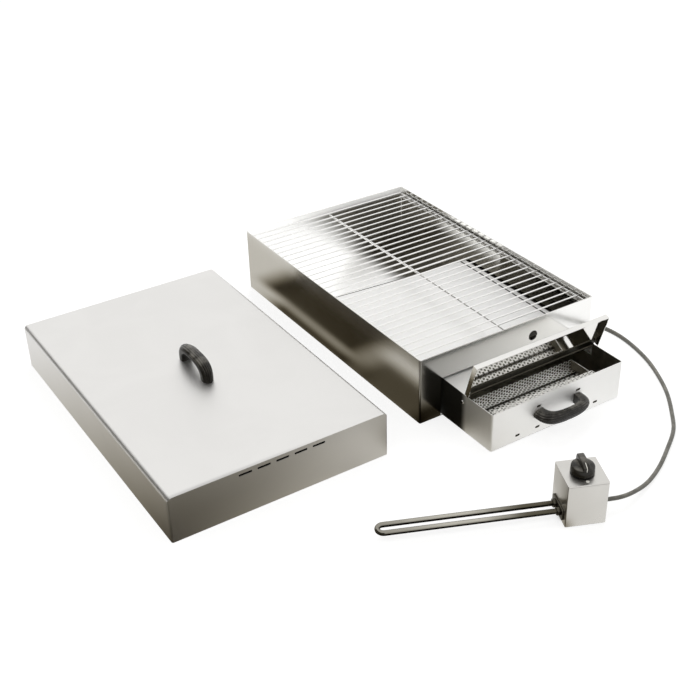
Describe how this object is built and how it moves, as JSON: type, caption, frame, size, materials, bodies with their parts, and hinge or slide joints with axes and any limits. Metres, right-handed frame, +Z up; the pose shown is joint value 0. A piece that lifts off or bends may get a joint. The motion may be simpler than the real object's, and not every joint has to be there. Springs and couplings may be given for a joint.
{
  "type": "table-top electric food smoker",
  "caption": "Table-top food smoker of sheet steel with a lift-off lid, a food grid, a sawdust drawer with a hinged cover, and a separate thermostat heater on a cord.",
  "frame": {"origin": "centre of the body's underside, on the surface the smoker stands on", "axes": "+Z up, -Y out of the end where the drawer opens, +X to the right of someone who faces that end"},
  "size_m": [0.9286, 0.904, 0.1337],
  "materials": {
    "body_steel": "fine brushed stainless steel",
    "lid_steel": "satin stainless steel",
    "drawer_steel": "fine brushed stainless steel",
    "bright_steel": "mirror-polished stainless steel",
    "basket_steel": "perforated bright sheet",
    "hinge_steel": "rolled bright strip",
    "grid_wire": "bright plated wire",
    "control_steel": "satin stainless steel",
    "element_sheath": "dark bright sheath, tinted by heat",
    "black_moulding": "glossy black moulding",
    "cable": "semi-gloss grey rubber",
    "black_rubber": "satin black rubber",
    "strap": "matt black strap",
    "brass_fitting": "bare brass",
    "thermostat_body": "matt insulating body"
  },
  "bodies": {
    "smoker": {"body_shell": "body_steel", "vent_wall": "body_steel", "entry_wall": "body_steel", "drip_plate": "bright_steel", "guide_left": "body_steel", "guide_right": "body_steel", "ledge_left": "body_steel", "ledge_right": "body_steel"},
    "grid": {"food_grid": "grid_wire"},
    "lid": {"lid_shell": "lid_steel", "lid_rest_left": "body_steel", "lid_rest_right": "body_steel", "lid_handle": "black_moulding", "lid_screw_1": "bright_steel", "lid_screw_2": "bright_steel"},
    "drawer": {"drawer_box": "drawer_steel", "drawer_plate": "bright_steel", "sawdust_basket": "basket_steel", "drawer_rivet_left": "bright_steel", "drawer_rivet_right": "bright_steel", "drawer_handle": "black_moulding", "drawer_screw_1": "bright_steel", "drawer_screw_2": "bright_steel", "hinge_leaf_fixed": "hinge_steel", "hinge_pin": "hinge_steel"},
    "cover": {"drawer_cover": "bright_steel", "hinge_leaf_moving": "hinge_steel"},
    "heater": {"control_box": "control_steel", "control_lid": "control_steel", "thermostat": "thermostat_body", "element_tube": "element_sheath", "element_flange": "bright_steel", "element_nut_1": "brass_fitting", "element_nut_2": "brass_fitting", "cord_bush": "black_rubber", "cord_lead": "cable", "cord_coil": "cable", "coil_tie": "strap", "plug_body": "black_rubber", "plug_pin_1": "brass_fitting", "plug_pin_2": "brass_fitting"},
    "knob": {"knob": "black_moulding", "knob_shaft": "brass_fitting"}
  },
  "joints": [
    {"name": "grid_lift", "type": "slide", "parent": "smoker", "child": "grid", "axis": [0, 0, 1], "range_m": [0, 0.15]},
    {"name": "lid_lift", "type": "slide", "parent": "smoker", "child": "lid", "axis": [0, 0, 1], "range_m": [0, 0.25]},
    {"name": "drawer_slide", "type": "slide", "parent": "smoker", "child": "drawer", "axis": [0, -1, 0], "range_m": [-0.05, 0.09]},
    {"name": "cover_hinge", "type": "hinge", "parent": "drawer", "child": "cover", "pos_m": [0, -0.338, 0.0691], "axis": [1, 0, 0], "range_deg": [-16.4, 73.6]},
    {"name": "heater_lift", "type": "slide", "parent": "smoker", "child": "heater", "axis": [0, 0, 1], "range_m": [0, 0.15]},
    {"name": "knob_turn", "type": "hinge", "parent": "heater", "child": "knob", "pos_m": [-0.12, -0.585, 0.08], "axis": [0, 0, 1], "range_deg": [-270, 0]}
  ]
}
